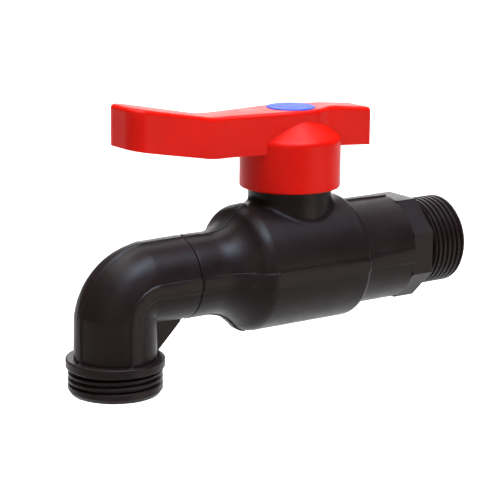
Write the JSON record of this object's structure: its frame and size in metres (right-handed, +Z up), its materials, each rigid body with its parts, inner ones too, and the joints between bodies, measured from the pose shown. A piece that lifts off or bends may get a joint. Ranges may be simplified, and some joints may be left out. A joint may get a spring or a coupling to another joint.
{
  "type": "garden ball valve",
  "caption": "Plastic garden ball valve with a turned-down threaded spout, spanner octagon, male inlet thread and a quarter-turn lever.",
  "frame": {"origin": "on the pipe axis where the full inlet thread begins, behind its end chamfer", "axes": "+X along the pipe and out of the inlet, +Z up the stem, +Y across the valve"},
  "size_m": [0.1304, 0.0376, 0.0802],
  "materials": {
    "body_plastic": "satin moulded, black",
    "handle_plastic": "satin moulded, red",
    "cap_plastic": "semi-gloss moulded, blue",
    "seat_plastic": "smooth, white",
    "ball_plastic": "polished, pale grey",
    "stem_plastic": "moulded, dark grey",
    "seal_rubber": "smooth, black",
    "screw_steel": "plain"
  },
  "bodies": {
    "body": {"valve_body": "body_plastic", "spout_elbow": "body_plastic", "inlet_connector": "body_plastic", "connector_o_ring": "seal_rubber", "outlet_seat": "seat_plastic", "outlet_seat_o_ring": "seal_rubber", "inlet_seat": "seat_plastic", "inlet_seat_o_ring": "seal_rubber"},
    "handle": {"handle": "handle_plastic", "handle_cap": "cap_plastic", "handle_screw": "screw_steel", "screw_washer": "screw_steel", "stem": "stem_plastic", "stem_o_ring_lower": "seal_rubber", "stem_o_ring_upper": "seal_rubber", "ball": "ball_plastic"}
  },
  "joints": [
    {"name": "handle_turn", "type": "hinge", "parent": "body", "child": "handle", "pos_m": [-0.0566, 0, 0], "axis": [0, 0, 1], "range_deg": [-90, 0]}
  ]
}
